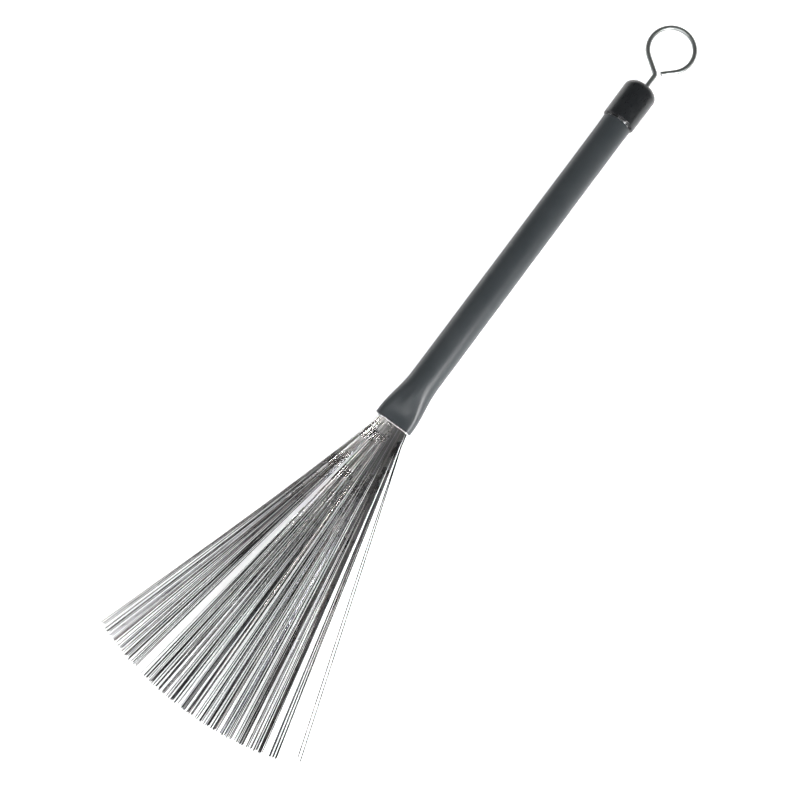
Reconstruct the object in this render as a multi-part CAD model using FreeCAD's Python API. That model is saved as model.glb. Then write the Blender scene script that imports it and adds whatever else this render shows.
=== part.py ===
import FreeCAD, Part
import math
import os

from FreeCAD import Vector

# A retractable wire brush for a drummer. A metal tube with a rubber sleeve is the handle. Its
# front end is pressed flat into a slot, and a flat fan of fine wires stands out of the slot.
# The wires are potted in a holder that slides inside the tube on a pull rod, whose rear end is
# bent into a ring. Pulling the ring draws the whole fan back into the handle.
#
# Millimetres. X runs along the handle towards the wire tips, Z is up, and the fan spreads in
# the XY plane. The origin is on the handle's axis at the middle of the grip.

# Driving dimensions: handle
HANDLE_LENGTH = 178.0        # rear face of the cap to the mouth of the slot
MOUTH_X = 79.0               # the mouth, measured from the middle of the grip
TUBE_RADIUS = 5.5
TUBE_WALL = 0.5
SLEEVE_REAR_WALL = 0.9
SLEEVE_FRONT_WALL = 1.05     # the rubber is a little thicker towards the mouth
LIP_LENGTH = 0.55            # the rim of the mouth is turned out, and holds the rubber back
LIP_TURNOUT = 0.5
LIP_RAMP = 0.1
SLEEVE_LIP_GAP = 0.05
SLOT_HALF_HEIGHT = 1.95      # outside of the flattened tube at the mouth
FLARE_LENGTH = 22.0          # stretch over which the tube goes from round to flat
FLARE_STEPS = 16
MOUTH_PARALLEL = 2.5         # last stretch, where the slot no longer narrows

# Driving dimensions: cap and guide at the rear end
CAP_LENGTH = 19.1
CAP_RADIUS = 7.4
CAP_END_WALL = 3.0
CAP_CORNER_ALONG = 4.0
CAP_CORNER_ACROSS = 5.0
CAP_RIM_ROUND = 0.4
CAP_HOLE_RADIUS = 1.25
CAP_SLEEVE_GAP = 0.8         # ring of bare tube left between the cap and the sleeve
GUIDE_LENGTH = 5.0
GUIDE_FLANGE = 1.0

# Driving dimensions: pull rod and its ring
ROD_RADIUS = 1.0
ROD_CLEARANCE = 0.06
ROD_Y = 0.65                 # the rod runs a little to one side of the axis
RING_CENTRE_FROM_CAP = 20.1
RING_Y = -0.15
RING_RADIUS = 9.9            # to the centre line of the wire
NECK_LENGTH = 7.2            # straight rod left showing between the cap and the ring
NECK_BEND_RADIUS = 2.2
RING_END_GAP = 2.2           # from the bend of the neck to the cut end of the ring
RIVET_RADIUS = 1.7
RIVET_LENGTH = 1.2

# Driving dimensions: wire holder
HOLDER_LENGTH = 10.0
HOLDER_FROM_MOUTH = 23.0
HOLDER_CLEARANCE = 0.09
HOLDER_CHAMFER = 0.25
CUP_DEPTH = 6.0
CUP_WALL = 0.35
POTTING_RECESS = 0.4

# Driving dimensions: the fan
WIRE_RADIUS = 0.15
WIRE_BEND_RADIUS = 12.0
WIRE_ROOT_GAP = 0.03
FAN_RADIUS = 161.6           # from where the wires seem to meet, out to their tips
FAN_ORIGIN_FROM_MOUTH = 20.7
TIP_SCATTER = 1.3            # the wires are cut to slightly different lengths
TIP_CUTS = 5                 # how many different lengths there are
LAYERS = 7
COLUMNS_PER_TUFT = 2
STAGGER = 0.25               # every other layer is set over by this share of a column
SLOT_LOW_Y = -5.6            # outermost wires where they pass the mouth
SLOT_HIGH_Y = 6.0
SLOT_SPAN_Z = 1.05
ROOT_SCALE_Y = 0.6           # the wires stand closer together in the holder
ROOT_SCALE_Z = 1.3
TIP_LOW_Z = -7.2             # the lowest tips reach the table that the cap lies on
TIP_HIGH_Z = 4.2
# Each bundle: first angle, last angle (degrees from the axis, + towards +Y), number of tufts
BUNDLES = ((-16.3, -9.2, 3), (-6.9, 12.5, 8), (13.3, 15.5, 1))
STRAY_SLOT_Y = 6.5
# Each stray wire: height in the slot, angle, distance of its tip, height of its tip
STRAYS = ((-0.2, 18.65, 158.6, -1.0), (0.25, 18.2, 157.2, 1.2))

# Derived places along X
CAP_X = MOUTH_X - HANDLE_LENGTH
CAP_FRONT_X = CAP_X + CAP_LENGTH
SLEEVE_REAR_X = CAP_FRONT_X + CAP_SLEEVE_GAP
LIP_X = MOUTH_X - LIP_LENGTH
SLEEVE_FRONT_X = LIP_X - SLEEVE_LIP_GAP
GUIDE_X = CAP_X + CAP_END_WALL
TUBE_REAR_X = GUIDE_X + GUIDE_FLANGE
FLARE_X = MOUTH_X - FLARE_LENGTH
HOLDER_FRONT_X = MOUTH_X - HOLDER_FROM_MOUTH
HOLDER_REAR_X = HOLDER_FRONT_X - HOLDER_LENGTH
CUP_FLOOR_X = HOLDER_FRONT_X - CUP_DEPTH
POTTING_FRONT_X = HOLDER_FRONT_X - POTTING_RECESS
ROOT_X = POTTING_FRONT_X + WIRE_ROOT_GAP
FAN_ORIGIN_X = MOUTH_X - FAN_ORIGIN_FROM_MOUTH
RING_X = CAP_X - RING_CENTRE_FROM_CAP

# Derived radii
BORE_RADIUS = TUBE_RADIUS - TUBE_WALL
HOLDER_RADIUS = BORE_RADIUS - HOLDER_CLEARANCE
CUP_RADIUS = HOLDER_RADIUS - CUP_WALL

ALONG = Vector(1, 0, 0)
CUT_PAST = 1.0               # how far a cutting tool runs past the face it opens
OUTLINE_POINTS = 48
BEZIER_CIRCLE = 0.5523       # handle length of a Bezier curve that follows a quarter ellipse


def cylinder(start_x, end_x, radius, centre_y=0.0):
    """A round bar along the handle, on its axis or to one side of it."""
    return Part.makeCylinder(radius, end_x - start_x, Vector(start_x, centre_y, 0), ALONG)


def line(start, end):
    return Part.LineSegment(start, end).toShape()


# ---------------------------------------------------------------- handle

def flatness(x):
    """How far the tube is pressed at x: 0 where it is round, 1 at the mouth."""
    run = min(max((x - FLARE_X) / (FLARE_LENGTH - MOUTH_PARALLEL), 0.0), 1.0)
    return run * run * (3.0 - 2.0 * run)


def pressed_outline(x, offset):
    """The tube's outline at x, moved outwards by offset.

    Pressing keeps the tube's girth. What its height loses turns into a flat on the top and
    on the bottom, between two half-rounds.
    """
    loss = (TUBE_RADIUS - SLOT_HALF_HEIGHT) * flatness(x)
    end_radius = TUBE_RADIUS - loss
    half_flat = math.pi / 2.0 * loss
    quarter = math.pi / 2.0 * TUBE_RADIUS
    points = []
    for i in range(OUTLINE_POINTS):
        turn = 2.0 * math.pi * i / OUTLINE_POINTS
        side = 1.0 if math.cos(turn) >= 0.0 else -1.0
        from_side = math.asin(min(abs(math.sin(turn)), 1.0)) / (math.pi / 2.0) * quarter
        angle = min(from_side / end_radius, math.pi / 2.0)
        along_flat = max(from_side - end_radius * math.pi / 2.0, 0.0)
        y = side * (half_flat - along_flat + (end_radius + offset) * math.cos(angle))
        z = math.copysign((end_radius + offset) * math.sin(angle), math.sin(turn))
        points.append(Vector(x, y, z))
    curve = Part.BSplineCurve()
    curve.interpolate(points, PeriodicFlag=True)
    return Part.Wire([curve.toShape()])


def pressed_bar(start_x, end_x, offset_at, extra_stations=()):
    """A solid bar that is round up to the flare and pressed flat towards its front end.

    offset_at gives how far outside the tube's surface the bar's surface lies at an x.
    """
    step = FLARE_LENGTH / FLARE_STEPS
    flare = [FLARE_X + i * step for i in range(FLARE_STEPS)]
    stations = sorted([start_x] + flare + list(extra_stations) + [end_x])
    return Part.makeLoft([pressed_outline(x, offset_at(x)) for x in stations], True, True)


def on_tube(x):
    return 0.0


def in_bore(x):
    return -TUBE_WALL


def on_lip(x):
    """The tube's own surface, and the turned-out rim at the mouth."""
    return LIP_TURNOUT if x > LIP_X else 0.0


def on_sleeve(x):
    """The rubber's surface: its wall grows evenly from the cap to the flare."""
    share = min((x - SLEEVE_REAR_X) / (FLARE_X - SLEEVE_REAR_X), 1.0)
    return SLEEVE_REAR_WALL + (SLEEVE_FRONT_WALL - SLEEVE_REAR_WALL) * share


def handle_tube():
    """Thin metal tube, pressed flat at its front end, with the rim of the mouth turned out."""
    outside = pressed_bar(TUBE_REAR_X, MOUTH_X, on_lip, (LIP_X, LIP_X + LIP_RAMP))
    inside = pressed_bar(TUBE_REAR_X - CUT_PAST, MOUTH_X + CUT_PAST, in_bore)
    return outside.cut(inside)


def grip_sleeve():
    """Rubber sleeve shrunk over the tube, from just in front of the cap to the turned-out rim."""
    outside = pressed_bar(SLEEVE_REAR_X, SLEEVE_FRONT_X, on_sleeve)
    inside = pressed_bar(SLEEVE_REAR_X - CUT_PAST, MOUTH_X, on_tube)
    return outside.cut(inside)


def end_cap():
    """Soft cap with a rounded end, pushed over the rear end of the tube."""
    nose = Vector(CAP_X, CAP_RADIUS - CAP_CORNER_ACROSS, 0)
    shoulder = Vector(CAP_X + CAP_CORNER_ALONG, CAP_RADIUS, 0)
    corner = Part.BezierCurve()
    corner.setPoles([
        nose,
        nose + Vector(0, BEZIER_CIRCLE * CAP_CORNER_ACROSS, 0),
        shoulder - Vector(BEZIER_CIRCLE * CAP_CORNER_ALONG, 0, 0),
        shoulder,
    ])
    rim = Vector(CAP_FRONT_X, CAP_RADIUS, 0)
    profile = Part.Wire([
        line(Vector(CAP_X, 0, 0), nose),
        corner.toShape(),
        line(shoulder, rim - Vector(CAP_RIM_ROUND, 0, 0)),
        line(rim - Vector(CAP_RIM_ROUND, 0, 0), rim - Vector(0, CAP_RIM_ROUND, 0)),
        line(rim - Vector(0, CAP_RIM_ROUND, 0), Vector(CAP_FRONT_X, 0, 0)),
        line(Vector(CAP_FRONT_X, 0, 0), Vector(CAP_X, 0, 0)),
    ])
    body = Part.Face(profile).revolve(Vector(0, 0, 0), ALONG, 360)
    body = body.cut(cylinder(GUIDE_X, CAP_FRONT_X + CUT_PAST, TUBE_RADIUS))
    return body.cut(cylinder(CAP_X - CUT_PAST, GUIDE_X + CUT_PAST, CAP_HOLE_RADIUS, ROD_Y))


def rod_guide():
    """Flanged plastic bush that plugs the rear of the tube and guides the pull rod."""
    flange = cylinder(GUIDE_X, TUBE_REAR_X, TUBE_RADIUS)
    plug = cylinder(TUBE_REAR_X, TUBE_REAR_X + GUIDE_LENGTH, BORE_RADIUS)
    bore_start, bore_end = GUIDE_X - CUT_PAST, TUBE_REAR_X + GUIDE_LENGTH + CUT_PAST
    bore = cylinder(bore_start, bore_end, ROD_RADIUS + ROD_CLEARANCE, ROD_Y)
    return flange.fuse(plug).removeSplitter().cut(bore)


# ---------------------------------------------------------------- plunger

def rounded_corner(before, corner, after, radius):
    """Tangent arc of the given radius that rounds a corner, with its start and end points."""
    back = (before - corner).normalize()
    ahead = (after - corner).normalize()
    half = back.getAngle(ahead) / 2.0
    reach = radius / math.tan(half)
    centre = corner + (back + ahead).normalize() * (radius / math.sin(half))
    start = corner + back * reach
    end = corner + ahead * reach
    middle = centre + (corner - centre).normalize() * radius
    return start, Part.Arc(start, middle, end).toShape(), end


def round_wire(path, start, direction, radius):
    """Round wire along a path of tangent lines and arcs."""
    section = Part.Wire([Part.Circle(start, direction, radius).toShape()])
    return Part.Wire(path).makePipeShell([section], True, False)


def pull_rod():
    """Steel rod, riveted into the holder at the front and bent into a ring at the rear."""
    front = Vector(CUP_FLOOR_X, ROD_Y, 0)
    bend = Vector(CAP_X - NECK_LENGTH, ROD_Y, 0)
    centre = Vector(RING_X, RING_Y, 0)
    to_centre = centre - bend
    reach = math.sqrt(to_centre.Length ** 2 - RING_RADIUS ** 2)
    spread = math.asin(RING_RADIUS / to_centre.Length)
    heading = math.atan2(to_centre.y, to_centre.x)
    leave = Vector(math.cos(heading + spread), math.sin(heading + spread), 0)
    come_back = Vector(math.cos(heading - spread), math.sin(heading - spread), 0)
    far_side = centre + to_centre.normalize() * RING_RADIUS
    first_touch = bend + leave * reach
    last_touch = bend + come_back * reach
    neck_end, neck_arc, ring_start = rounded_corner(front, bend, first_touch, NECK_BEND_RADIUS)
    path = [
        line(front, neck_end),
        neck_arc,
        line(ring_start, first_touch),
        Part.Arc(first_touch, far_side, last_touch).toShape(),
        line(last_touch, bend + come_back * RING_END_GAP),
    ]
    rod = round_wire(path, front, ALONG, ROD_RADIUS)
    rivet = cylinder(CUP_FLOOR_X, CUP_FLOOR_X + RIVET_LENGTH, RIVET_RADIUS, ROD_Y)
    return rod.fuse(rivet)


def wire_holder():
    """Metal cup that slides in the tube: the rod is riveted into its floor."""
    body = cylinder(HOLDER_REAR_X, HOLDER_FRONT_X, HOLDER_RADIUS)
    rims = [edge for edge in body.Edges if edge.Closed and len(edge.Vertexes) == 1]
    body = body.makeChamfer(HOLDER_CHAMFER, rims)
    body = body.cut(cylinder(CUP_FLOOR_X, HOLDER_FRONT_X + CUT_PAST, CUP_RADIUS))
    return body.cut(cylinder(HOLDER_REAR_X - CUT_PAST, CUP_FLOOR_X + CUT_PAST, ROD_RADIUS, ROD_Y))


def potting():
    """Resin that fills the cup round the rivet head and grips the roots of the wires."""
    fill = cylinder(CUP_FLOOR_X, POTTING_FRONT_X, CUP_RADIUS)
    rivet_end = CUP_FLOOR_X + RIVET_LENGTH
    return fill.cut(cylinder(CUP_FLOOR_X - CUT_PAST, rivet_end, RIVET_RADIUS, ROD_Y))


# ---------------------------------------------------------------- fan

def fan_wire(slot_y, slot_z, angle, tip_radius, tip_z):
    """One wire: from the potting to the mouth, a gentle bend there, and out to its tip."""
    root = Vector(ROOT_X, slot_y * ROOT_SCALE_Y, slot_z * ROOT_SCALE_Z)
    slot = Vector(MOUTH_X, slot_y, slot_z)
    tip_x = FAN_ORIGIN_X + tip_radius * math.cos(math.radians(angle))
    tip = Vector(tip_x, tip_radius * math.sin(math.radians(angle)), tip_z)
    bend_start, bend_arc, bend_end = rounded_corner(root, slot, tip, WIRE_BEND_RADIUS)
    path = [line(root, bend_start), bend_arc, line(bend_end, tip)]
    return round_wire(path, root, slot - root, WIRE_RADIUS)


def column_places():
    """Angle of each column of wires in the fan, bundle by bundle, and the step between them."""
    places = []
    for first, last, tufts in BUNDLES:
        count = tufts * COLUMNS_PER_TUFT
        step = (last - first) / (count - 1)
        places += [(first + i * step, step) for i in range(count)]
    return places


def tuft(number, places):
    """Wires of neighbouring columns, in staggered layers, as separate solids."""
    pitch = (SLOT_HIGH_Y - SLOT_LOW_Y) / (len(places) - 1)
    wires = []
    for column in range(number * COLUMNS_PER_TUFT, (number + 1) * COLUMNS_PER_TUFT):
        angle, step = places[column]
        for layer in range(LAYERS):
            stagger = STAGGER if layer % 2 else -STAGGER
            level = layer / (LAYERS - 1)
            cut = (7 * column + 3 * layer) % TIP_CUTS / (TIP_CUTS - 1)
            wires.append(fan_wire(
                SLOT_LOW_Y + (column + stagger) * pitch,
                -SLOT_SPAN_Z + 2.0 * SLOT_SPAN_Z * level,
                angle + stagger * step,
                FAN_RADIUS - TIP_SCATTER * cut,
                TIP_LOW_Z + (TIP_HIGH_Z - TIP_LOW_Z) * level,
            ))
    return Part.makeCompound(wires)


def stray_wires():
    """Two wires bent away from the rest, beside the last tuft."""
    return Part.makeCompound([
        fan_wire(STRAY_SLOT_Y, slot_z, angle, tip_radius, tip_z)
        for slot_z, angle, tip_radius, tip_z in STRAYS
    ])


def save(shape, node):
    """Write one node's STEP file and print what it holds."""
    shape.exportStep(os.path.join("parts", node + ".step"))
    box = shape.BoundBox
    print("%-14s solids %2d  volume %9.2f mm3  x %7.1f..%6.1f  y %6.1f..%5.1f  z %5.2f..%5.2f  %s" % (
        node, len(shape.Solids), shape.Volume, box.XMin, box.XMax, box.YMin, box.YMax,
        box.ZMin, box.ZMax, "valid" if shape.isValid() else "INVALID"))


os.makedirs("parts", exist_ok=True)

save(handle_tube(), "handle_tube")
save(grip_sleeve(), "grip_sleeve")
save(end_cap(), "end_cap")
save(rod_guide(), "rod_guide")
save(pull_rod(), "pull_rod")
save(wire_holder(), "wire_holder")
save(potting(), "potting")

column_list = column_places()
for tuft_number in range(len(column_list) // COLUMNS_PER_TUFT):
    save(tuft(tuft_number, column_list), "tuft_%02d" % (tuft_number + 1))
save(stray_wires(), "stray_wires")
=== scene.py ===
# %% [markdown]
# # A retractable wire drum brush
# The brush is a metal tube in a rubber sleeve, with a fan of fine steel wires at one end and a
# pull ring at the other. Pulling the ring draws the wires back into the tube. This script loads
# the working model as a frame that is already the right size, and builds every visible piece
# around it: each piece names the body that it moves with, so it follows when the ring is pulled.

# %% Load the frame
import bmesh
import bpy
import math
import random
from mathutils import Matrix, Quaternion, Vector, noise


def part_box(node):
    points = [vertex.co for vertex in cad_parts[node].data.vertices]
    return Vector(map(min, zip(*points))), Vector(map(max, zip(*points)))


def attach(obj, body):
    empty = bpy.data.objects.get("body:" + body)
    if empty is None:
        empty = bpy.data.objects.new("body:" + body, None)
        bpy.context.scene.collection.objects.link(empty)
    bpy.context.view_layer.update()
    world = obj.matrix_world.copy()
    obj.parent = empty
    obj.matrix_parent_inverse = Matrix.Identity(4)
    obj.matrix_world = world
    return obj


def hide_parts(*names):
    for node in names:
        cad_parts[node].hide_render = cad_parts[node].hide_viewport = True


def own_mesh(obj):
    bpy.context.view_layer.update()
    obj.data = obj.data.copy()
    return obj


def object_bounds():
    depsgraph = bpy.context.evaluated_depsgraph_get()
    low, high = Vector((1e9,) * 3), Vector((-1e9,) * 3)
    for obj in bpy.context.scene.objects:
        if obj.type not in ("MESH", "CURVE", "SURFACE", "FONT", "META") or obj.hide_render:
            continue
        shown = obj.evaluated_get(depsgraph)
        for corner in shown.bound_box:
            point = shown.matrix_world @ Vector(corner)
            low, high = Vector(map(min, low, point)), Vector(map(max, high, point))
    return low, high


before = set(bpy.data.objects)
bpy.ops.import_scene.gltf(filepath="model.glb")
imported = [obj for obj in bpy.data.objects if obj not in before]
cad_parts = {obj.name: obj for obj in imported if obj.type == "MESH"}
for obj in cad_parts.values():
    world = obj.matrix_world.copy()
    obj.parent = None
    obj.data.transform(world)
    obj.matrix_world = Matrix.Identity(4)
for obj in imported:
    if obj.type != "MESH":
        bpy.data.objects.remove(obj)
cad_bounds = [list(corner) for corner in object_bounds()]
MM = 0.001

# %% [markdown]
# ## Camera, table and light
# A small product is usually shot from above on a white table. The camera stands almost over the
# mouth of the brush, leaning back along the handle. A long lens from well back keeps the handle
# and the fan in nearly the same scale.

# %% Camera
CAMERA_PLACE = Vector((0.1631, 0.0663, 0.6951))
CAMERA_TARGET = Vector((0.0690, -0.0034, 0.0))
CAMERA_ROLL = math.radians(-0.12)
FIELD_OF_VIEW = math.radians(26.0)

camera_data = bpy.data.cameras.new("camera")
camera_data.sensor_width = 36.0
camera_data.lens = camera_data.sensor_width / 2.0 / math.tan(FIELD_OF_VIEW / 2.0)
camera = bpy.data.objects.new("camera", camera_data)
camera.location = CAMERA_PLACE
aim = (CAMERA_TARGET - CAMERA_PLACE).to_track_quat("-Z", "Y")
camera.rotation_euler = (aim @ Quaternion((0.0, 0.0, 1.0), CAMERA_ROLL)).to_euler()
bpy.context.collection.objects.link(camera)
bpy.context.scene.camera = camera
camera_reach = (CAMERA_TARGET - CAMERA_PLACE).length
print("lens %.1f mm, %.3f m from its target" % (camera_data.lens, camera_reach))

# %% [markdown]
# Metal shows what stands around it, so the light decides how the wires look. Bare round wire on a
# white table looks like a dark line with pale edges when the room above is dim: its middle
# mirrors the room, and its sides mirror the table. So the sky is a dim grey, and soft boxes out
# to the sides light the table.

# %% Helpers for node materials
def new_material(name):
    """An empty node material and its node tree."""
    material = bpy.data.materials.new(name)
    material.use_nodes = True
    material.node_tree.nodes.clear()
    return material, material.node_tree


def add_node(tree, kind, inputs=None, **settings):
    """A node of that kind, with its settings and its unlinked inputs filled in."""
    made = tree.nodes.new(kind)
    for key, value in settings.items():
        setattr(made, key, value)
    for key, value in (inputs or {}).items():
        made.inputs[key].default_value = value
    return made


def ramp(tree, source, stops):
    """A colour ramp fed by source, with (position, colour) stops."""
    made = add_node(tree, "ShaderNodeValToRGB")
    elements = made.color_ramp.elements
    while len(elements) < len(stops):
        elements.new(0.5)
    for element, (position, colour) in zip(elements, stops):
        element.position = position
        element.color = (*colour, 1.0)
    tree.links.new(source, made.inputs["Fac"])
    return made


def value_ramp(tree, source, low, high, start=0.0, end=1.0):
    """Maps source from start..end to low..high."""
    made = add_node(tree, "ShaderNodeMapRange", {
        "From Min": start, "From Max": end, "To Min": low, "To Max": high})
    tree.links.new(source, made.inputs["Value"])
    return made.outputs["Result"]


def grain(tree, place, scale, detail=4.0, roughness=0.55, stretch=(1.0, 1.0, 1.0)):
    """Noise over the object's own coordinates, stretched along its axes."""
    mapping = add_node(tree, "ShaderNodeMapping", {"Scale": stretch})
    tree.links.new(place, mapping.inputs["Vector"])
    made = add_node(tree, "ShaderNodeTexNoise", {
        "Scale": scale, "Detail": detail, "Roughness": roughness})
    tree.links.new(mapping.outputs["Vector"], made.inputs["Vector"])
    return made.outputs["Fac"]


def bump(tree, height, distance, strength=1.0, below=None):
    """A bump of the given depth in metres, laid over another bump if there is one."""
    made = add_node(tree, "ShaderNodeBump", {"Strength": strength, "Distance": distance})
    tree.links.new(height, made.inputs["Height"])
    if below is not None:
        tree.links.new(below, made.inputs["Normal"])
    return made.outputs["Normal"]


def shader_output(tree, shader):
    out = add_node(tree, "ShaderNodeOutputMaterial")
    tree.links.new(shader.outputs[0], out.inputs["Surface"])


def coordinates(tree):
    return add_node(tree, "ShaderNodeTexCoord").outputs["Object"]


# %% Table
FLOOR_Z = cad_bounds[0][2]
FLOOR_HALF = 3.0


def table_finish():
    """Pale matte table top, with a slight glow of its own so that shadows stay faint."""
    material, tree = new_material("table_white")
    cloud = grain(tree, coordinates(tree), 3.0)
    tone = ramp(tree, cloud, [(0.3, (0.86, 0.86, 0.86)), (0.7, (0.88, 0.88, 0.88))])
    body = add_node(tree, "ShaderNodeBsdfPrincipled", {
        "Roughness": 0.7, "Specular IOR Level": 0.1,
        "Emission Color": (1.0, 1.0, 1.0, 1.0), "Emission Strength": 0.45})
    tree.links.new(tone.outputs["Color"], body.inputs["Base Color"])
    shader_output(tree, body)
    return material


def build_table():
    mesh = bpy.data.meshes.new("table")
    corners = [(-1, -1), (1, -1), (1, 1), (-1, 1)]
    points = [(x * FLOOR_HALF, y * FLOOR_HALF, FLOOR_Z) for x, y in corners]
    mesh.from_pydata(points, [], [(0, 1, 2, 3)])
    mesh.materials.append(table_finish())
    table = bpy.data.objects.new("table", mesh)
    bpy.context.collection.objects.link(table)


build_table()
print("table at z = %.4f m" % FLOOR_Z)

# %% Sky and soft boxes
SKY_SEEN = 0.93          # what the camera sees behind the table's edge
SKY_MIRRORED = 0.16      # what the metal mirrors from above


def build_sky():
    """A dim room round the table. Seen straight, it is as pale as the table."""
    world = bpy.data.worlds.new("room")
    bpy.context.scene.world = world
    world.use_nodes = True
    tree = world.node_tree
    tree.nodes.clear()
    seen = add_node(tree, "ShaderNodeBackground", {"Color": (1, 1, 1, 1), "Strength": SKY_SEEN})
    mirrored = add_node(tree, "ShaderNodeBackground", {
        "Color": (0.97, 0.98, 1.0, 1), "Strength": SKY_MIRRORED})
    path = add_node(tree, "ShaderNodeLightPath")
    mix = add_node(tree, "ShaderNodeMixShader")
    out = add_node(tree, "ShaderNodeOutputWorld")
    tree.links.new(path.outputs["Is Camera Ray"], mix.inputs["Fac"])
    tree.links.new(mirrored.outputs["Background"], mix.inputs[1])
    tree.links.new(seen.outputs["Background"], mix.inputs[2])
    tree.links.new(mix.outputs["Shader"], out.inputs["Surface"])


def soft_box(name, place, aim, width, height, watts, mirrored=True):
    """A rectangular light at place, facing aim. Gloss doesn't show it unless it is mirrored."""
    data = bpy.data.lights.new(name, "AREA")
    data.shape = "RECTANGLE"
    data.size = width
    data.size_y = height
    data.energy = watts
    lamp = bpy.data.objects.new(name, data)
    lamp.location = place
    lamp.rotation_euler = (Vector(aim) - Vector(place)).to_track_quat("-Z", "Y").to_euler()
    lamp.visible_glossy = mirrored
    bpy.context.collection.objects.link(lamp)


build_sky()
soft_box("box_right", (0.12, 0.62, 0.30), (0.03, 0, 0), 0.40, 0.16, 1.6)
soft_box("box_mouth", (0.100, 0.25, 0.165), (0.07, 0, 0), 0.05, 0.05, 1.3)
soft_box("box_front", (0.42, 0.02, 0.85), (0.07, 0, 0), 0.26, 0.26, 1.3)
soft_box("box_left", (0.10, -0.90, 0.75), (0.05, 0, 0), 0.9, 0.6, 7.0, mirrored=False)
soft_box("box_tips", (1.10, 0.10, 0.80), (0.05, 0, 0), 0.8, 0.6, 7.0)
soft_box("box_ring", (-1.00, 0.10, 0.80), (0.05, 0, 0), 0.8, 0.6, 7.0, mirrored=False)
bpy.context.scene.view_settings.view_transform = "Standard"

# %% [markdown]
# ## Measuring the frame
# Places and outer sizes come from the boxes of the working model's parts, so that the visible
# pieces land in the right place. What a box can't tell, such as a wall's thickness or how long
# the pressed stretch is, is written down as a value.

# %% Sizes read from the frame
tube_low, tube_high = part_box("handle_tube")
sleeve_low, sleeve_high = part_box("grip_sleeve")
cap_low, cap_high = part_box("end_cap")
rod_low, rod_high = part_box("pull_rod")

MOUTH_X = tube_high.x
TUBE_RADIUS = tube_high.z
TUBE_WALL = 0.5 * MM
SLEEVE_FRONT_WALL = sleeve_high.z - tube_high.z
SLEEVE_REAR_WALL = 0.9 * MM
FLARE_LENGTH = 22.0 * MM
MOUTH_PARALLEL = 2.5 * MM
FLARE_X = MOUTH_X - FLARE_LENGTH
LIP_LENGTH = 0.55 * MM
LIP_TURNOUT = 0.5 * MM
ROD_Y = 0.65 * MM            # the rod runs a little to one side of the axis
# A tube keeps its girth when it is pressed, so its width at the mouth gives its height there.
slot_widening = tube_high.y - LIP_TURNOUT - TUBE_RADIUS
SLOT_HALF_HEIGHT = TUBE_RADIUS - slot_widening / (math.pi / 2.0 - 1.0)
print("tube radius %.2f mm, sleeve wall %.2f mm, slot half height %.2f mm" % (
    TUBE_RADIUS / MM, SLEEVE_FRONT_WALL / MM, SLOT_HALF_HEIGHT / MM))


# %% The pressed outline
FACET_LENGTH = 14.0 * MM     # the press pushes the top and bottom in over a shorter stretch
FACET_END = 4.0 * MM
FACET_SHARE = 0.5            # how much of the facet's shape is the press's and not the tube's
FACET_EDGE = 0.35            # how far the facet laps over the half-rounds, in their radii


def clamp(value, low, high):
    return min(max(value, low), high)


def eased(run):
    """0 to 1 with soft ends."""
    run = clamp(run, 0.0, 1.0)
    return run * run * (3.0 - 2.0 * run)


def flatness(x):
    """How far the tube is pressed at x: 0 where it is round, 1 at the mouth."""
    return eased((x - FLARE_X) / (FLARE_LENGTH - MOUTH_PARALLEL))


def facet_lag(x):
    """How far the middle of the facet lags behind the rest of the outline at x."""
    late = eased((x - MOUTH_X + FACET_LENGTH) / (FACET_LENGTH - FACET_END))
    return FACET_SHARE * (flatness(x) - late)


def pressed_point(x, turn, offset):
    """A point on the pressed tube's surface at x, moved outwards by offset.

    turn goes round the outline, from 0 to 2 pi. Half-rounds at the sides meet facets on the top
    and bottom. The facets fall later and more steeply than the sides widen.
    """
    pressed = flatness(x)
    loss = (TUBE_RADIUS - SLOT_HALF_HEIGHT) * pressed
    end_radius = TUBE_RADIUS - loss
    half_flat = math.pi / 2.0 * loss
    side = 1.0 if math.cos(turn) >= 0.0 else -1.0
    from_side = math.asin(min(abs(math.sin(turn)), 1.0)) * TUBE_RADIUS
    angle = min(from_side / end_radius, math.pi / 2.0)
    along_flat = max(from_side - end_radius * math.pi / 2.0, 0.0)
    y = half_flat - along_flat + (end_radius + offset) * math.cos(angle)
    z = (end_radius + offset) * math.sin(angle)
    if half_flat > 0.0:
        across = min(y / (half_flat + FACET_EDGE * end_radius), 1.0)
        fade = math.cos(math.pi / 2.0 * across)
        z += (TUBE_RADIUS - SLOT_HALF_HEIGHT) * facet_lag(x) * fade ** 2
    return Vector((x, side * y, math.copysign(z, math.sin(turn))))


# %% Mesh helpers
def link_piece(name, mesh, material, body, slot_name, *nodes):
    """Makes an object of the mesh that rides on body and stands for the CAD nodes."""
    mesh.materials.append(material)
    for face in mesh.polygons:
        face.use_smooth = True
    piece = bpy.data.objects.new(name, mesh)
    bpy.context.collection.objects.link(piece)
    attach(piece, body)
    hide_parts(*nodes)
    print("%-14s %6d vertices, rides on %s" % (name, len(mesh.vertices), body))
    return piece


def skin_rings(name, rings, closed):
    """A mesh through rings of points. closed joins the last ring to the first."""
    count = len(rings[0])
    points = [point for ring in rings for point in ring]
    faces = []
    for i in range(len(rings) if closed else len(rings) - 1):
        here, there = i * count, (i + 1) % len(rings) * count
        for j in range(count):
            k = (j + 1) % count
            faces.append((here + j, here + k, there + k, there + j))
    if not closed:
        faces.append(tuple(reversed(range(count))))
        faces.append(tuple(range(len(points) - count, len(points))))
    mesh = bpy.data.meshes.new(name)
    mesh.from_pydata(points, [], faces)
    tidy = bmesh.new()
    tidy.from_mesh(mesh)
    bmesh.ops.recalc_face_normals(tidy, faces=tidy.faces)
    tidy.to_mesh(mesh)
    tidy.free()
    return mesh


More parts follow.
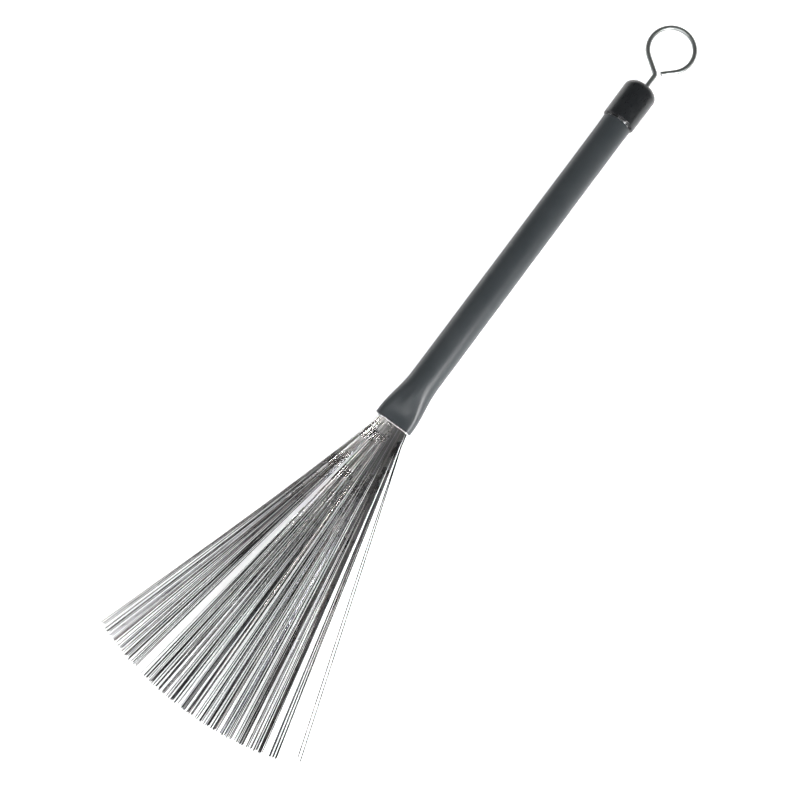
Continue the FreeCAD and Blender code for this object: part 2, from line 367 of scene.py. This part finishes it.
def steps(start, end, step):
    """Even places from start to end, both included, about step apart."""
    count = max(int(round(abs((end - start) / step))), 1)
    return [start + (end - start) * i / count for i in range(count + 1)]


def quarter(centre_x, centre_y, radius_x, radius_y, first, last, count=6):
    """Points of a quarter ellipse between two angles in degrees."""
    turns = [math.radians(a) for a in steps(first, last, (last - first) / count)]
    return [(centre_x + radius_x * math.cos(t), centre_y + radius_y * math.sin(t)) for t in turns]


# %% [markdown]
# ## Grip sleeve
# The grip is a rubber sleeve shrunk over the tube. Where the tube is pressed flat the rubber
# follows it, which gives the flared mouth with a flat facet between two soft ridges. A loft
# through outlines along the handle makes that shape: a modelled cylinder bent by hand would
# lose the even wall. Rubber isn't perfectly even, so the outside swells and sinks by a few
# hundredths of a millimetre.

# %% Rubber finish
def rubber_finish():
    """Matte blue-grey rubber: fine grain, faint lengthwise wipe marks, pale dust."""
    material, tree = new_material("grip_rubber_worn")
    place = coordinates(tree)
    cloud = grain(tree, place, 45.0, 5.0, 0.6)
    wipe = grain(tree, place, 260.0, 3.0, 0.6, (0.06, 1.0, 1.0))
    dust = grain(tree, place, 1900.0, 2.0, 0.5)
    skin = grain(tree, place, 5200.0, 3.0, 0.7)
    tone = ramp(tree, cloud, [(0.30, (0.019, 0.023, 0.026)), (0.70, (0.027, 0.031, 0.034))])
    dusty = add_node(tree, "ShaderNodeMix", data_type="RGBA")
    dusty.inputs[7].default_value = (0.08, 0.08, 0.078, 1.0)
    tree.links.new(value_ramp(tree, dust, 0.0, 0.30, 0.66, 0.80), dusty.inputs[0])
    tree.links.new(tone.outputs["Color"], dusty.inputs[6])
    body = add_node(tree, "ShaderNodeBsdfPrincipled", {
        "Specular IOR Level": 0.45, "Sheen Weight": 0.04, "Sheen Roughness": 0.5})
    tree.links.new(dusty.outputs[2], body.inputs["Base Color"])
    tree.links.new(value_ramp(tree, wipe, 0.34, 0.46, 0.3, 0.7), body.inputs["Roughness"])
    under = bump(tree, wipe, 0.03 * MM, 0.35)
    tree.links.new(bump(tree, skin, 0.02 * MM, 0.5, under), body.inputs["Normal"])
    shader_output(tree, body)
    return material


# %% Sleeve shape
SLEEVE_REAR_ROUND = 0.35 * MM
SLEEVE_FRONT_ROUND = 0.14 * MM
SLEEVE_BULGE = 0.13 * MM     # the rubber is pushed up a little beside the cap
BULGE_LENGTH = 4.0 * MM
SLEEVE_FIT = 0.01 * MM       # the gap between the sleeve's inside and the tube
SWELL = 0.035 * MM
TURNS = 144                  # points round every outline
FLARE_LEAD = 4.0 * MM        # the rings get closer this far before the flare


def swell(x, turn):
    """Slow unevenness of the rubber, a few hundredths of a millimetre."""
    spot = Vector((x * 38.0, math.cos(turn) * 0.9, math.sin(turn) * 0.9))
    return SWELL * (noise.noise(spot) - 0.6)


def wall_at(x):
    """The rubber's thickness: it grows towards the flare, and bulges a little by the cap."""
    share = min((x - sleeve_low.x) / (FLARE_X - sleeve_low.x), 1.0)
    bulge = SLEEVE_BULGE * math.exp(-((x - sleeve_low.x) / BULGE_LENGTH) ** 2)
    return SLEEVE_REAR_WALL + (SLEEVE_FRONT_WALL - SLEEVE_REAR_WALL) * share + bulge


def sleeve_section():
    """The wall's outside and inside, as lists of (x, height above the tube)."""
    rear, front, flare = sleeve_low.x, sleeve_high.x, FLARE_X - FLARE_LEAD
    bulge_end = rear + 3.0 * BULGE_LENGTH
    r, f = SLEEVE_REAR_ROUND, SLEEVE_FRONT_ROUND
    outside = quarter(rear + r, wall_at(rear) - r, r, r, 180, 90)
    outside += [(x, wall_at(x)) for x in steps(rear + r, bulge_end, 0.8 * MM)[1:]]
    outside += [(x, wall_at(x)) for x in steps(bulge_end, flare, 3.0 * MM)[1:]]
    outside += [(x, wall_at(x)) for x in steps(flare, front - f, 0.6 * MM)[1:]]
    outside += quarter(front - f, wall_at(front) - f, f, f, 90, 0)[1:]
    inside = [(x, SLEEVE_FIT) for x in steps(front, flare, 1.5 * MM)]
    inside += [(x, SLEEVE_FIT) for x in steps(flare, rear, 12.0 * MM)[1:]]
    return outside, inside


def build_sleeve():
    outside, inside = sleeve_section()
    turns = [2.0 * math.pi * i / TURNS for i in range(TURNS)]
    rings = [[pressed_point(x, t, h + swell(x, t)) for t in turns] for x, h in outside]
    rings += [[pressed_point(x, t, h) for t in turns] for x, h in inside]
    mesh = skin_rings("sleeve", rings, True)
    return link_piece("sleeve", mesh, rubber_finish(), "handle", "grip_rubber", "grip_sleeve")


build_sleeve()

# %% [markdown]
# ## Metal tube
# Only two bits of the tube show: the bright lip at the mouth, in front of the rubber, and a thin
# ring between the sleeve and the cap. The lip is the tube's own edge, turned out a little so that
# the rubber can't creep forward. A bent edge is never knife sharp, so it gets small rounds. It is
# the same loft as the sleeve, with other heights.

# %% Tube metal
def drawn_metal(name, colour, roughness, scratch_depth):
    """Drawn metal: lines along the draw, with small changes in polish and colour."""
    material, tree = new_material(name)
    place = coordinates(tree)
    lines = grain(tree, place, 900.0, 4.0, 0.6, (0.03, 1.0, 1.0))
    cloud = grain(tree, place, 120.0, 3.0, 0.5)
    darker = tuple(c * 0.82 for c in colour)
    tone = ramp(tree, cloud, [(0.3, darker), (0.7, colour)])
    body = add_node(tree, "ShaderNodeBsdfPrincipled", {"Metallic": 1.0})
    tree.links.new(tone.outputs["Color"], body.inputs["Base Color"])
    polish = value_ramp(tree, lines, roughness * 0.7, roughness * 1.4, 0.3, 0.7)
    tree.links.new(polish, body.inputs["Roughness"])
    tree.links.new(bump(tree, lines, scratch_depth, 0.5), body.inputs["Normal"])
    shader_output(tree, body)
    return material


# %% Tube shape
LIP_ROUND = 0.2 * MM


def build_tube():
    rear, front = tube_low.x, tube_high.x
    r = LIP_ROUND
    lip = front - LIP_LENGTH
    section = [(x, 0.0) for x in steps(rear, FLARE_X, 8.0 * MM)]
    section += [(x, 0.0) for x in steps(FLARE_X, lip, 0.75 * MM)[1:]]
    section += quarter(lip + r, LIP_TURNOUT - r, r, r, 180, 90, 4)
    section += quarter(front - r, LIP_TURNOUT - r, r, r, 90, 0, 4)
    section += quarter(front - r, -TUBE_WALL + r, r, r, 0, -90, 4)
    section += [(x, -TUBE_WALL) for x in steps(front - r, FLARE_X, 1.5 * MM)[1:]]
    section += [(x, -TUBE_WALL) for x in steps(FLARE_X, rear, 12.0 * MM)[1:]]
    turns = [2.0 * math.pi * i / TURNS for i in range(TURNS)]
    rings = [[pressed_point(x, t, h) for t in turns] for x, h in section]
    mesh = skin_rings("tube", rings, True)
    metal = drawn_metal("tube_bright", (0.83, 0.84, 0.85), 0.24, 0.01 * MM)
    return link_piece("tube", mesh, metal, "handle", "tube_metal", "handle_tube")


build_tube()

# %% [markdown]
# ## End cap
# The cap is soft vinyl, made by dipping, and pushed over the bare end of the tube. Dipped vinyl
# is glossy, a touch wavy, and its rim is rounded by the way it drips. The shape is a profile
# turned round the handle's axis, with the rod's hole at its nose.

# %% Vinyl finish
def vinyl_finish():
    """Glossy black vinyl with a faint wave, fine handling scuffs and greasy patches."""
    material, tree = new_material("cap_vinyl_gloss")
    place = coordinates(tree)
    wave = grain(tree, place, 160.0, 2.0, 0.4)
    scuff = grain(tree, place, 1400.0, 5.0, 0.7, (0.35, 1.0, 1.0))
    smear = grain(tree, place, 220.0, 4.0, 0.6)
    tone = ramp(tree, smear, [(0.35, (0.006, 0.007, 0.008)), (0.7, (0.010, 0.011, 0.012))])
    body = add_node(tree, "ShaderNodeBsdfPrincipled", {
        "Specular IOR Level": 0.45, "Coat Weight": 0.15, "Coat Roughness": 0.14})
    tree.links.new(tone.outputs["Color"], body.inputs["Base Color"])
    tree.links.new(value_ramp(tree, scuff, 0.26, 0.42, 0.35, 0.75), body.inputs["Roughness"])
    under = bump(tree, wave, 0.04 * MM, 0.4)
    tree.links.new(bump(tree, scuff, 0.008 * MM, 0.4, under), body.inputs["Normal"])
    shader_output(tree, body)
    return material


# %% Cap shape
CAP_CORNER_ALONG = 4.0 * MM
CAP_CORNER_ACROSS = 5.0 * MM
CAP_HOLE = 1.25 * MM
CAP_HOLE_ROUND = 0.25 * MM
CAP_RIM_ROUND = 0.4 * MM
CAP_TAPER = 0.12 * MM        # dipped vinyl shrinks least at its open end, so its rim is narrower
CAP_END_WALL = 3.0 * MM
CAP_WOBBLE = 0.03 * MM


def turned_rings(section, wobble, centre_y=0.0, count=TURNS):
    """Rings of a section of (x, radius) turned round a line along the handle, a touch uneven."""
    rings = []
    for x, radius in section:
        ring = []
        for i in range(count):
            turn = 2.0 * math.pi * i / count
            spot = Vector((x * 90.0, math.cos(turn), math.sin(turn)))
            uneven = radius + wobble * (noise.noise(spot) - 0.7)
            ring.append(Vector((x, centre_y + uneven * math.cos(turn), uneven * math.sin(turn))))
        rings.append(ring)
    return rings


def cap_hole():
    """The wall of the rod's hole and its soft edge, from the inside out."""
    nose, r = cap_low.x, CAP_HOLE_ROUND
    edge = quarter(nose + r, CAP_HOLE + r, r, r, 270, 180, 4)
    return [(nose + CAP_END_WALL, CAP_HOLE)] + edge


def cap_shell():
    """The cap's outside from its nose to its rim, and back along the tube inside it."""
    nose, rim, radius = cap_low.x, cap_high.x, cap_high.z
    along, r = CAP_CORNER_ALONG, CAP_RIM_ROUND
    narrow = radius - CAP_TAPER
    section = quarter(
        nose + along, radius - CAP_CORNER_ACROSS, along, CAP_CORNER_ACROSS, 180, 90, 18)
    for x in steps(nose + along, rim - r, 1.0 * MM)[1:]:
        section.append((x, radius - CAP_TAPER * (x - nose - along) / (rim - r - nose - along)))
    section += quarter(rim - r, narrow - r, r, r, 90, 0, 6)[1:]
    section += quarter(rim - r, TUBE_RADIUS + r, r, r, 0, -90, 6)
    section += [(x, TUBE_RADIUS) for x in steps(rim - r, nose + CAP_END_WALL, 4.0 * MM)[1:]]
    return section


def build_cap():
    rings = turned_rings(cap_hole(), 0.0, ROD_Y) + turned_rings(cap_shell(), CAP_WOBBLE)
    mesh = skin_rings("cap", rings, True)
    return link_piece("cap", mesh, vinyl_finish(), "handle", "cap_vinyl", "end_cap")


build_cap()

# %% [markdown]
# ## Pull rod and ring
# The rod is one length of bright steel wire. Inside the handle it is straight. Behind the cap it
# kinks aside and is bent round a mandrel into a ring, whose cut end comes back almost to the
# kink. A path of straight runs and arcs is swept with a circle; the cut end gets a small
# chamfer, as a cropped wire has.

# %% Sweeping a wire along a path
def arc_points(centre, start, sweep, count):
    """Points on an arc in the XY plane from start, round centre, through sweep radians."""
    spoke = start - centre
    points = []
    for i in range(count + 1):
        turn = sweep * i / count
        cos, sin = math.cos(turn), math.sin(turn)
        turned = Vector((spoke.x * cos - spoke.y * sin, spoke.x * sin + spoke.y * cos, 0))
        points.append(centre + turned)
    return points


def sweep_rings(points, radius_at, sides):
    """Circles across a path, each square to it, without twisting."""
    rings = []
    across = None
    for i, point in enumerate(points):
        ahead = points[min(i + 1, len(points) - 1)] - points[max(i - 1, 0)]
        ahead.normalize()
        if across is None:
            across = ahead.orthogonal().normalized()
        across = (across - ahead * across.dot(ahead)).normalized()
        up = ahead.cross(across)
        radius = radius_at(i)
        turns = [2 * math.pi * j / sides for j in range(sides)]
        rings.append([point + (across * math.cos(t) + up * math.sin(t)) * radius for t in turns])
    return rings


# %% Rod shape
RING_OUTER = (rod_high.y - rod_low.y) / 2.0
ROD_RADIUS = 1.0 * MM
RING_RADIUS = RING_OUTER - ROD_RADIUS
RING_CENTRE = Vector((rod_low.x + RING_OUTER, (rod_high.y + rod_low.y) / 2.0, 0.0))
NECK_LENGTH = 7.2 * MM
NECK_BEND_RADIUS = 2.2 * MM
RING_END_GAP = 2.2 * MM
ROD_SIDES = 28
CHAMFER = 0.22 * MM


def rod_path():
    """Points from the front of the rod, through the kink and round the ring to its cut end."""
    bend = Vector((cap_low.x - NECK_LENGTH, ROD_Y, 0.0))
    to_centre = RING_CENTRE - bend
    reach = math.sqrt(to_centre.length ** 2 - RING_RADIUS ** 2)
    spread = math.asin(RING_RADIUS / to_centre.length)
    heading = math.atan2(to_centre.y, to_centre.x) % (2.0 * math.pi)
    leave, back = heading + spread, heading - spread
    leaving = Vector((math.cos(leave), math.sin(leave), 0.0))
    coming = Vector((math.cos(back), math.sin(back), 0.0))
    kink = leave - math.pi
    reach_kink = NECK_BEND_RADIUS * math.tan(kink / 2.0)
    kink_start = bend + Vector((reach_kink, 0.0, 0.0))
    kink_centre = kink_start + Vector((0.0, -NECK_BEND_RADIUS, 0.0))
    points = [Vector((x, ROD_Y, 0.0)) for x in steps(rod_high.x, kink_start.x, 10.0 * MM)[:-1]]
    points += arc_points(kink_centre, kink_start, kink, 8)
    first, last = bend + leaving * reach, bend + coming * reach
    points += [points[-1].lerp(first, t) for t in (0.25, 0.5, 0.75)]
    points += arc_points(RING_CENTRE, first, -(math.pi + 2.0 * spread), 72)
    end = bend + coming * RING_END_GAP
    points += [last.lerp(end, t) for t in (0.3, 0.6, 0.85)]
    points += [end - (end - last).normalized() * CHAMFER, end]
    return points


def build_rod():
    points = rod_path()
    last = len(points) - 1

    def radius_at(i):
        return ROD_RADIUS - (CHAMFER if i in (0, last) else 0.0)

    mesh = skin_rings("pull_ring", sweep_rings(points, radius_at, ROD_SIDES), False)
    nickel = drawn_metal("ring_nickel", (0.42, 0.44, 0.43), 0.36, 0.004 * MM)
    return link_piece("pull_ring", mesh, nickel, "plunger", "rod_steel", "pull_rod")


build_rod()

# %% [markdown]
# ## Parts inside the handle
# The guide bush, the sliding holder and its resin are hidden, but they belong to the object and
# they show if the model is cut open. Their shapes in the frame are right, so they only get
# finishes of their own.

# %% Inner finishes
def plain_finish(name, low, high, roughness, metallic=0.0):
    """A simple moulded or turned finish with a mottled colour and a fine bump."""
    material, tree = new_material(name)
    place = coordinates(tree)
    cloud = grain(tree, place, 300.0)
    fine = grain(tree, place, 3000.0)
    tone = ramp(tree, cloud, [(0.3, low), (0.7, high)])
    body = add_node(tree, "ShaderNodeBsdfPrincipled", {"Metallic": metallic})
    tree.links.new(tone.outputs["Color"], body.inputs["Base Color"])
    polish = value_ramp(tree, fine, roughness * 0.8, roughness * 1.2)
    tree.links.new(polish, body.inputs["Roughness"])
    tree.links.new(bump(tree, fine, 0.01 * MM, 0.5), body.inputs["Normal"])
    shader_output(tree, body)
    return material


def dress(node, material):
    """Gives a CAD node a finish of its own."""
    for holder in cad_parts[node].material_slots:
        holder.link = "OBJECT"
        holder.material = material


dress("rod_guide", plain_finish("guide_nylon", (0.70, 0.69, 0.64), (0.80, 0.79, 0.75), 0.45))
dress("wire_holder", plain_finish(
    "holder_turned_brass", (0.62, 0.45, 0.18), (0.76, 0.58, 0.27), 0.28, 1.0))
dress("potting", plain_finish(
    "potting_dark_resin", (0.05, 0.045, 0.04), (0.10, 0.09, 0.08), 0.35))

# %% [markdown]
# ## The fan of wires
# The fan is some 170 straight steel wires. Real ones are never quite straight: they bow a
# little, lean on each other and gather in strands, and each is a slightly different grey. Every
# wire of the working model gives one visible wire its two ends; a seeded random shift then bends
# it aside. Each tuft is one mesh on its own body, so the fan closes when the ring is pulled.

# %% Wire finish
def wire_finish():
    """Spring steel wire. Each wire carries its own tint, with painted shade near the mouth, which
    the finish reads.
    """
    material, tree = new_material("spring_wire")
    place = coordinates(tree)
    tint = add_node(tree, "ShaderNodeAttribute", attribute_name="wire_tint_and_shade")
    stain = grain(tree, place, 90.0, 3.0, 0.6)
    worn = add_node(tree, "ShaderNodeMix", data_type="RGBA", blend_type="MULTIPLY")
    worn.inputs[0].default_value = 1.0
    tree.links.new(tint.outputs["Color"], worn.inputs[6])
    shade = ramp(tree, stain, [(0.3, (0.78, 0.77, 0.76)), (0.7, (1.0, 1.0, 1.0))])
    tree.links.new(shade.outputs["Color"], worn.inputs[7])
    body = add_node(tree, "ShaderNodeBsdfPrincipled", {
        "Metallic": 1.0, "Specular Tint": (0.45, 0.45, 0.46, 1.0)})
    tree.links.new(worn.outputs[2], body.inputs["Base Color"])
    tree.links.new(value_ramp(tree, stain, 0.20, 0.38, 0.3, 0.7), body.inputs["Roughness"])
    shader_output(tree, body)
    return material


# %% Reading the wires of the frame
ROOT_DEPTH = 0.06 * MM       # a wire's root is its points this close to its rear end
SLOT_DEPTH = 2.5 * MM        # where it passes the slot is its points this close to the mouth
TIP_DEPTH = 0.12 * MM        # its tip is its points this close to its front end
SAME_POINT = 1e-7


def wires_of(node):
    """Root, slot and tip of each wire of a CAD node, in the order of its pieces."""
    solid = bmesh.new()
    solid.from_mesh(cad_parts[node].data)
    bmesh.ops.remove_doubles(solid, verts=solid.verts, dist=SAME_POINT)
    seen = set()
    wires = []
    for start in solid.verts:
        if start.index in seen:
            continue
        island, stack = [], [start]
        seen.add(start.index)
        while stack:
            vertex = stack.pop()
            island.append(vertex.co.copy())
            for edge in vertex.link_edges:
                other = edge.other_vert(vertex)
                if other.index not in seen:
                    seen.add(other.index)
                    stack.append(other)
        low = min(p.x for p in island)
        high = max(p.x for p in island)
        root = mean([p for p in island if p.x < low + ROOT_DEPTH])
        slot = mean([p for p in island if abs(p.x - MOUTH_X) < SLOT_DEPTH])
        tip = mean([p for p in island if p.x > high - TIP_DEPTH])
        wires.append((root, slot, tip))
    solid.free()
    return sorted(wires, key=lambda w: (round(w[2].z, 4), round(w[2].y, 4)))


def mean(points):
    return sum(points, Vector()) / len(points)


# %% Where the wires gather
FAN_ORIGIN = Vector((MOUTH_X - 20.7 * MM, 0.0, 0.0))    # where the wires seem to meet
FAN_RADIUS = 161.6 * MM
# Each strand: its angle in degrees, how far it gathers wires from, and how dark its wires are
STRANDS = ((-14.9, 1.4, 0.25), (-11.0, 1.4, 0.62), (-9.6, 0.9, 0.60), (-5.4, 1.5, 0.68),
           (-1.6, 1.3, 0.76), (0.4, 1.1, 0.74), (5.0, 1.8, 0.90), (7.2, 1.0, 0.74),
           (10.2, 1.3, 0.72), (14.6, 1.4, 0.95))
GATHER = 0.24                # how much of its way to the strand a wire goes
LAST_ANGLE = 13.0            # the bundle past this angle is drawn together more tightly,
LAST_GATHER = 0.55           # so that it goes into the tube
OUTER_ANGLE = 9.0            # a tuft past this angle, on either side,
SPREAD_LIMIT = 0.85          # spreads outwards by no more degrees than this, for the same reason
# Near the mouth the wires' tints are painted with shade, deeper on the +y side.
NEAR_MOUTH = 70.0 * MM       # within this of the mouth the wires' tints turn to painted shade, an even grey
MOUTH_SHADE_GREY = 0.34
DEEP_SHADE_GREY = 0.24             # a darker painted shade, of the wires past the next angle
DEEP_SHADE_ANGLE = 3.0
DEEP_SHADE_BLEND = 4.0             # degrees over which the one grey turns into the other
MOUTH_SHADE_SHARE = 0.62          # how much of its own tint a wire loses right at the mouth


def fan_angle(point):
    """Angle of a point in the fan, in degrees from the handle's axis."""
    return math.degrees(math.atan2(point.y, point.x - FAN_ORIGIN.x))


def gathered(angle):
    """The angle after the nearest strand has drawn the wire in, and the strand's darkness."""
    centre, reach, dark = min(STRANDS, key=lambda strand: abs(angle - strand[0]) / strand[1])
    pull = GATHER * math.exp(-((angle - centre) / (1.3 * reach)) ** 2)
    if angle > LAST_ANGLE:
        pull = LAST_GATHER
    return angle + (centre - angle) * pull, dark


# %% Wire shapes
WIRE_RADIUS = 0.175 * MM
EDGE_BOW = 0.9 * MM          # the wires of the bundle on the -y side bow towards the middle
EDGE_ANGLE = -11.0
EDGE_BLEND = 4.0             # degrees past EDGE_ANGLE at which a wire bows fully
SIDEWAYS_BOW = 0.22          # spreads of the random bows, in millimetres
UPWARD_BOW = 0.35
BOW_SKEW = 0.8               # below 1, a bow is fullest nearer the mouth than the tip
BRISTLE_STEPS = 22
ANGLE_SCATTER = 0.16         # spreads of the random shifts of a tip, in degrees and millimetres
HEIGHT_SCATTER = 0.6
TIP_CUT = 0.1                # a wire is shorter than the fan by this many millimetres,
TIP_CUT_SCATTER = 0.4        # by a random share of this many,
TIP_CUT_CURVE = 0.0035       # and by this many for each square degree off the axis
CORNER_ROOM = 1.6            # space kept to the slot's wall, in wire radii
BOX_ROOM = 2.0               # space kept to the frame's box, in wire radii
STRAY_INSET = 0.1 * MM
STRAY_RADIUS = 0.22 * MM
STRAY_STEEL = (0.012, 0.012, 0.012)
WIRE_SIDES = 8
DARK_STEEL = ((0.030, 0.030, 0.031), (0.050, 0.049, 0.048),
              (0.075, 0.075, 0.078), (0.045, 0.040, 0.038))
MID_STEEL = ((0.15, 0.15, 0.15), (0.22, 0.205, 0.20), (0.17, 0.17, 0.19), (0.27, 0.27, 0.27))
PALE_STEEL = ((0.58, 0.58, 0.59), (0.46, 0.45, 0.44), (0.52, 0.47, 0.46), (0.47, 0.47, 0.53))
PALE_SHARE = 0.5             # of the wires that aren't dark
chance = random.Random(31)


def bristle_points(root, slot, tip):
    """A slightly bowed line from root, through the slot, to tip."""
    edge = clamp((EDGE_ANGLE - fan_angle(tip)) / EDGE_BLEND, 0.0, 1.0)
    sideways = chance.gauss(0.0, SIDEWAYS_BOW) * MM + EDGE_BOW * edge
    upward = chance.gauss(0.0, UPWARD_BOW) * MM
    points = [root.lerp(slot, t) for t in (0.0, 0.3, 0.6, 0.85)]
    for i in range(1, BRISTLE_STEPS + 1):
        run = i / BRISTLE_STEPS
        straight = slot.lerp(tip, run)
        bow = math.sin(math.pi * run ** BOW_SKEW)
        points.append(straight + Vector((0.0, sideways * bow, upward * bow)))
    return points


def inside_slot(slot):
    """Keeps the point where a wire leaves the slot clear of the slot's rounded corners."""
    half_height = SLOT_HALF_HEIGHT - TUBE_WALL
    corner_y = tube_high.y - LIP_TURNOUT - TUBE_WALL - half_height
    over = max(abs(slot.y) - corner_y, 0.0)
    room = math.sqrt(max(half_height ** 2 - over ** 2, 0.0)) - CORNER_ROOM * WIRE_RADIUS
    return Vector((slot.x, slot.y, clamp(slot.z, -room, room)))


def loosen(tip, low, high, middle):
    """Draws a tip to its strand and cuts the wire to length, inside the box from low to high.

    middle is the angle of the wire's tuft. The result is the new tip and the strand's darkness.
    """
    angle, dark = gathered(fan_angle(tip) + chance.gauss(0.0, ANGLE_SCATTER))
    if middle > OUTER_ANGLE:
        angle = min(angle, middle + SPREAD_LIMIT)
    if middle < -OUTER_ANGLE:
        angle = max(angle, middle - SPREAD_LIMIT)
    cut = TIP_CUT + TIP_CUT_SCATTER * chance.random() + TIP_CUT_CURVE * angle ** 2
    radius = FAN_RADIUS - cut * MM
    z = tip.z + chance.gauss(0.0, HEIGHT_SCATTER) * MM
    margin = BOX_ROOM * WIRE_RADIUS
    turn = math.radians(angle)
    place = FAN_ORIGIN + Vector((radius * math.cos(turn), radius * math.sin(turn), 0.0))
    place.x = min(place.x, high[0] - margin)
    place.y = clamp(place.y, low[1] + margin, high[1] - margin)
    place.z = clamp(z, low[2] + margin, high[2] - margin)
    return place, dark


def steel_tint(dark):
    """A tint for one wire: the darker its strand, the more often it is dark steel."""
    if chance.random() < dark:
        return chance.choice(DARK_STEEL)
    if chance.random() < PALE_SHARE:
        return chance.choice(PALE_STEEL)
    return chance.choice(MID_STEEL)


def tint_at(point, angle, tint):
    """A wire's tint at a point, with painted shade: the nearer the mouth, the more it turns to an
    even grey.
    """
    side = clamp((angle - DEEP_SHADE_ANGLE) / DEEP_SHADE_BLEND + 0.5, 0.0, 1.0)
    grey = MOUTH_SHADE_GREY + (DEEP_SHADE_GREY - MOUTH_SHADE_GREY) * side
    # the share of painted shade grows towards the mouth
    shade_share = MOUTH_SHADE_SHARE * clamp(1.0 - (point.x - MOUTH_X) / NEAR_MOUTH, 0.0, 1.0)
    return tuple(part + (grey - part) * shade_share for part in tint)


def tuft_mesh(name, wires, loose):
    """One mesh of separate wires with a tint on each. Stray wires aren't loose: they only bow."""
    points, faces, tints = [], [], []
    middle = fan_angle(mean([wire[2] for wire in wires]))
    for root, slot, tip in wires:
        dark = 1.0
        slot = inside_slot(slot)
        if loose:
            tip, dark = loosen(tip, *cad_bounds, middle)
        else:
            tip = tip - Vector((0.0, STRAY_INSET, 0.0))
        line = bristle_points(root, slot, tip)
        radius = WIRE_RADIUS if loose else STRAY_RADIUS
        rings = sweep_rings(line, lambda i: radius, WIRE_SIDES)
        tint = steel_tint(dark) if loose else STRAY_STEEL
        angle = fan_angle(tip)
        base = len(points)
        for i, ring in enumerate(rings):
            points += ring
            tints += [tint_at(line[i], angle, tint) if loose else tint] * WIRE_SIDES
            if i:
                here, before = base + i * WIRE_SIDES, base + (i - 1) * WIRE_SIDES
                for j in range(WIRE_SIDES):
                    k = (j + 1) % WIRE_SIDES
                    faces.append((before + j, before + k, here + k, here + j))
        end = base + (len(rings) - 1) * WIRE_SIDES
        faces.append(tuple(base + j for j in reversed(range(WIRE_SIDES))))
        faces.append(tuple(end + j for j in range(WIRE_SIDES)))
    mesh = bpy.data.meshes.new(name)
    mesh.from_pydata(points, [], faces)
    # each point's tint holds the wire's own grey and the painted shade near the mouth
    layer = mesh.color_attributes.new("wire_tint_and_shade", "FLOAT_COLOR", "POINT")
    for i, tint in enumerate(tints):
        layer.data[i].color = (*tint, 1.0)
    return mesh


# %% Tufts
steel = wire_finish()


def build_tuft(node):
    """The visible wires of one tuft, pressed flat where they pass into the slot."""
    wires = wires_of(node)
    mesh = tuft_mesh(node + "_wires", wires, node.startswith("tuft_"))
    piece = link_piece(node + "_wires", mesh, steel, node, "wire_steel", node)
    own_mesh(piece)
    return len(wires)


wire_nodes = [node for node in sorted(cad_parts) if node.startswith(("tuft_", "stray_"))]
print("wires in the fan:", sum(build_tuft(node) for node in wire_nodes))
